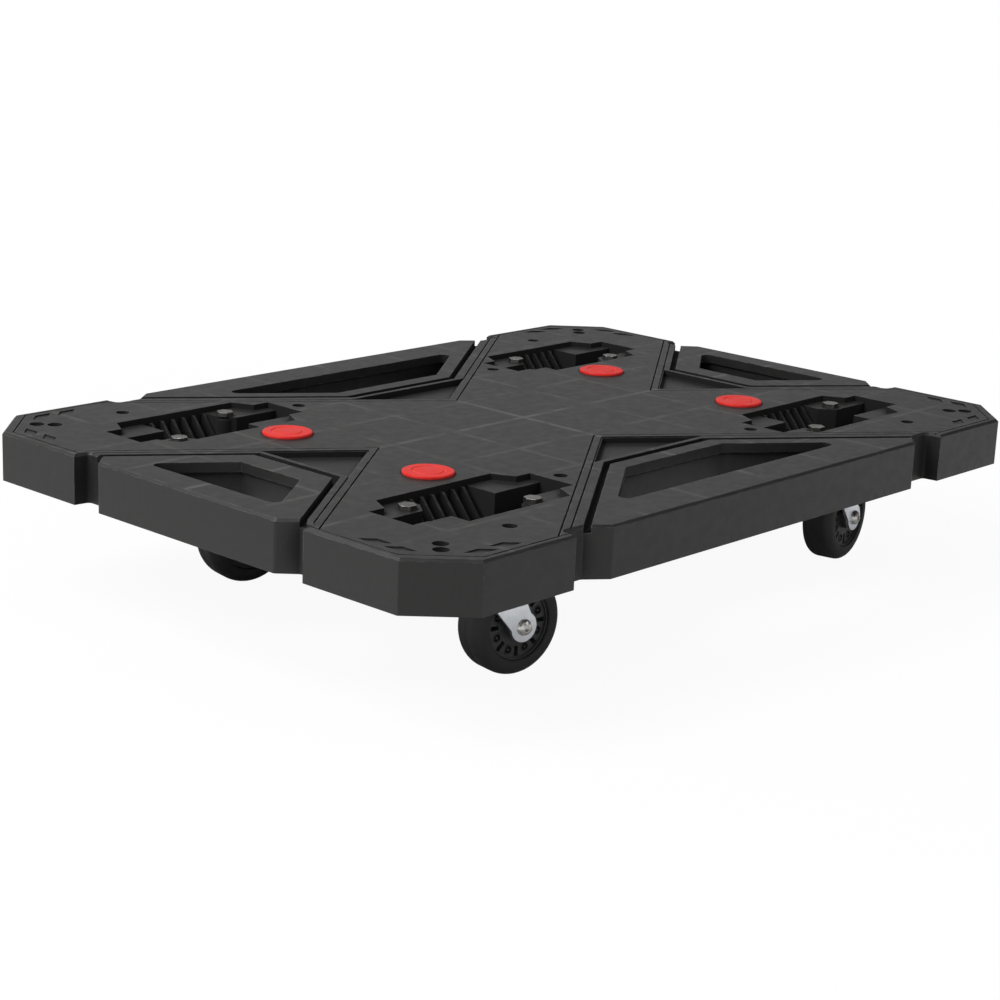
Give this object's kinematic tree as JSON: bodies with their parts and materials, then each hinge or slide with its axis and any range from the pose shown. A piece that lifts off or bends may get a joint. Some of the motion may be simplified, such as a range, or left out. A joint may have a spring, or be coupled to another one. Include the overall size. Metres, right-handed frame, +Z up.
{
  "type": "furniture dolly",
  "caption": "Low rectangular moulded dolly deck with handle openings at every side, round grip pads, and swivel casters with rubber tyres in zinc-plated forks.",
  "frame": {"origin": "centre of the bounding box's base, on the floor under the middle of the deck", "axes": "+X along the deck's length, +Y across its width, +Z up"},
  "size_m": [0.6, 0.4274, 0.1155],
  "materials": {
    "black_plastic": "fine moulded texture",
    "red_rubber": "soft satin",
    "zinc_steel": "bright zinc plating",
    "wheel_plastic": "moulded",
    "tyre_rubber": "matt rubber"
  },
  "bodies": {
    "deck_body": {"deck": "black_plastic", "grip_pad_1": "red_rubber", "grip_pad_2": "red_rubber", "grip_pad_3": "red_rubber", "grip_pad_4": "red_rubber", "mounting_bolts": "zinc_steel", "mounting_nuts": "zinc_steel", "mounting_washers": "zinc_steel", "caster_plate_1": "zinc_steel", "ball_ring_1": "zinc_steel", "king_rivet_1": "zinc_steel", "caster_plate_2": "zinc_steel", "ball_ring_2": "zinc_steel", "king_rivet_2": "zinc_steel", "caster_plate_3": "zinc_steel", "ball_ring_3": "zinc_steel", "king_rivet_3": "zinc_steel", "caster_plate_4": "zinc_steel", "ball_ring_4": "zinc_steel", "king_rivet_4": "zinc_steel"},
    "caster_fork_1": {"fork_1": "zinc_steel", "axle_bolt_1": "zinc_steel", "axle_nut_1": "zinc_steel", "axle_sleeve_1": "zinc_steel"},
    "caster_wheel_1": {"wheel_hub_1": "wheel_plastic", "tyre_1": "tyre_rubber"},
    "caster_fork_2": {"fork_2": "zinc_steel", "axle_bolt_2": "zinc_steel", "axle_nut_2": "zinc_steel", "axle_sleeve_2": "zinc_steel"},
    "caster_wheel_2": {"wheel_hub_2": "wheel_plastic", "tyre_2": "tyre_rubber"},
    "caster_fork_3": {"fork_3": "zinc_steel", "axle_bolt_3": "zinc_steel", "axle_nut_3": "zinc_steel", "axle_sleeve_3": "zinc_steel"},
    "caster_wheel_3": {"wheel_hub_3": "wheel_plastic", "tyre_3": "tyre_rubber"},
    "caster_fork_4": {"fork_4": "zinc_steel", "axle_bolt_4": "zinc_steel", "axle_nut_4": "zinc_steel", "axle_sleeve_4": "zinc_steel"},
    "caster_wheel_4": {"wheel_hub_4": "wheel_plastic", "tyre_4": "tyre_rubber"}
  },
  "joints": [
    {"name": "swivel_1", "type": "hinge", "parent": "deck_body", "child": "caster_fork_1", "pos_m": [-0.1821, -0.12285, 0.0755], "axis": [0, 0, 1], "continuous": true},
    {"name": "wheel_spin_1", "type": "hinge", "parent": "caster_fork_1", "child": "caster_wheel_1", "pos_m": [-0.15059, -0.12841, 0.0325], "axis": [0.1736, 0.9848, 0], "continuous": true},
    {"name": "swivel_2", "type": "hinge", "parent": "deck_body", "child": "caster_fork_2", "pos_m": [0.1821, -0.12285, 0.0755], "axis": [0, 0, 1], "continuous": true},
    {"name": "wheel_spin_2", "type": "hinge", "parent": "caster_fork_2", "child": "caster_wheel_2", "pos_m": [0.21371, -0.11784, 0.0325], "axis": [-0.1564, 0.9877, 0], "continuous": true},
    {"name": "swivel_3", "type": "hinge", "parent": "deck_body", "child": "caster_fork_3", "pos_m": [0.1821, 0.12285, 0.0755], "axis": [0, 0, 1], "continuous": true},
    {"name": "wheel_spin_3", "type": "hinge", "parent": "caster_fork_3", "child": "caster_wheel_3", "pos_m": [0.21351, 0.11674, 0.0325], "axis": [0.1908, 0.9816, 0], "continuous": true},
    {"name": "swivel_4", "type": "hinge", "parent": "deck_body", "child": "caster_fork_4", "pos_m": [-0.1821, 0.12285, 0.0755], "axis": [0, 0, 1], "continuous": true},
    {"name": "wheel_spin_4", "type": "hinge", "parent": "caster_fork_4", "child": "caster_wheel_4", "pos_m": [-0.15069, 0.11674, 0.0325], "axis": [0.1908, 0.9816, 0], "continuous": true}
  ]
}
